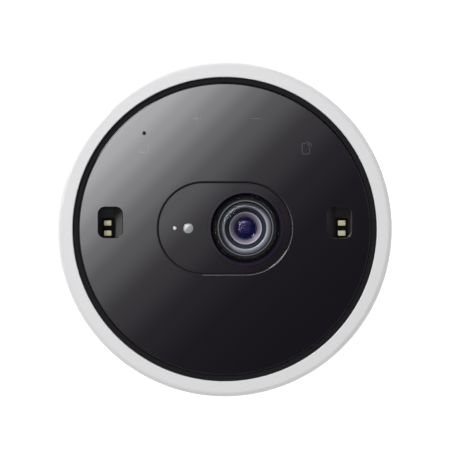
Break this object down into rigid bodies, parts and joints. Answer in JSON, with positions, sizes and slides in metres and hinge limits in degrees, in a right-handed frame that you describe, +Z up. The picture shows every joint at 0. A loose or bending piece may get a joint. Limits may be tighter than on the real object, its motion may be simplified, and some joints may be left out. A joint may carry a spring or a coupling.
{
  "type": "portable projector",
  "caption": "Round can-shaped portable projector with a touch-key glass face and a recessed lens, tilting in a U-shaped cradle on a weighted base.",
  "frame": {"origin": "centre of the base's underside, on the surface that the product stands on", "axes": "+Z up and out of the lens at rest; X along the tilt axis, with the ports on the +X side; +Y towards the top of the face"},
  "size_m": [0.1028, 0.095, 0.1727],
  "materials": {
    "white_shell": "fine satin, off-white",
    "front_rim": "satin, light warm grey-white",
    "grille": "satin",
    "cloth": "fine acoustic mesh",
    "cradle_paint": "fine powder coat",
    "steel": "brushed",
    "brass": "turned",
    "rubber": "matt",
    "bezel": "matt black",
    "black_glass": "polished, printed black on its back",
    "window_glass": "polished, printed black on its back",
    "clear_glass": "coated",
    "sensor_glass": "filter glass",
    "black_plastic": "moulded, matt",
    "barrel_black": "black anodised, fine turned lines",
    "dark_gloss": "gloss",
    "gold_contact": "gold plated",
    "light_guide": "frosted",
    "circuit_board": "solder mask",
    "shield_can": "tin plated",
    "cast_alloy": "die cast",
    "aluminium": "extruded",
    "copper": "bare copper",
    "cone_paper": "pressed fibre",
    "nylon": "natural nylon"
  },
  "bodies": {
    "cradle": {"base_foot": "rubber", "base_plate": "black_plastic", "base_ballast": "steel", "base_shell": "white_shell", "base_screws": "steel", "tripod_insert": "brass", "cradle_frame": "cradle_paint", "pivot_pins": "steel", "slip_washers": "nylon", "pivot_caps": "white_shell"},
    "lens_barrel": {"focus_barrel": "barrel_black", "front_lens": "clear_glass", "barrel_rings": "barrel_black", "inner_lenses": "clear_glass"},
    "focus_screw": {"focus_screw": "brass"},
    "fan": {"fan_rotor": "black_plastic"},
    "mute_slider": {"mute_slider": "white_shell"},
    "speaker_cone": {"driver_cone": "cone_paper"},
    "radiator_right": {"radiator_right": "cone_paper"},
    "radiator_left": {"radiator_left": "cone_paper"},
    "head": {"front_rim": "front_rim", "main_shell": "white_shell", "vent_grille": "grille", "grille_cloth": "cloth", "rear_cap": "white_shell", "head_screws": "steel", "port_plate": "dark_gloss", "front_glass": "black_glass", "bezel_gasket": "bezel", "touch_board": "circuit_board", "front_frame": "black_plastic", "lens_plate": "window_glass", "lens_trim_ring": "barrel_black", "sensor_windows": "sensor_glass", "range_sensor": "circuit_board", "status_light_pipe": "light_guide", "pocket_wells": "black_plastic", "contact_blocks": "black_plastic", "contact_pads": "gold_contact", "lens_mount": "cast_alloy", "focus_motor": "steel", "engine_housing": "cast_alloy", "engine_optics": "clear_glass", "led_modules": "circuit_board", "dmd_board": "circuit_board", "heat_pipe": "copper", "heatsink": "aluminium", "fan_frame": "black_plastic", "chassis_deck": "cast_alloy", "mainboard": "circuit_board", "power_board": "circuit_board", "io_board": "circuit_board", "port_sockets": "shield_can", "speaker_box": "black_plastic", "speaker_lid": "black_plastic", "driver_frame": "steel", "rubber_surrounds": "rubber", "hinge_brackets": "steel", "hinge_bushes": "brass", "friction_washers": "steel"}
  },
  "joints": [
    {"name": "head_tilt", "type": "hinge", "parent": "cradle", "child": "head", "pos_m": [0, 0, 0.072], "axis": [1, 0, 0], "range_deg": [-90, 90]},
    {"name": "lens_focus", "type": "slide", "parent": "head", "child": "lens_barrel", "axis": [0, 0, 1], "range_m": [-0.0006, 0.0006]},
    {"name": "focus_screw_turn", "type": "hinge", "parent": "head", "child": "focus_screw", "pos_m": [0.00595, -0.0167, 0.1457], "axis": [0, 0, 1], "range_deg": [-440, 440]},
    {"name": "fan_spin", "type": "hinge", "parent": "head", "child": "fan", "pos_m": [0, 0, 0.086], "axis": [0, 0, 1], "continuous": true},
    {"name": "mute_slide", "type": "slide", "parent": "head", "child": "mute_slider", "axis": [0, 0, 1], "range_m": [-0.002, 0]},
    {"name": "cone_stroke", "type": "slide", "parent": "head", "child": "speaker_cone", "axis": [0, 0, 1], "range_m": [-0.001, 0.001], "stiffness_N_per_m": 1500},
    {"name": "radiator_right_stroke", "type": "slide", "parent": "head", "child": "radiator_right", "axis": [0, 1, 0], "range_m": [-0.0012, 0.0012], "stiffness_N_per_m": 1200},
    {"name": "radiator_left_stroke", "type": "slide", "parent": "head", "child": "radiator_left", "axis": [0, 1, 0], "range_m": [-0.0012, 0.0012], "stiffness_N_per_m": 1200}
  ],
  "couplings": [
    {"joint": "focus_screw_turn", "follows": "lens_focus", "rad_per_m": 12566}
  ]
}
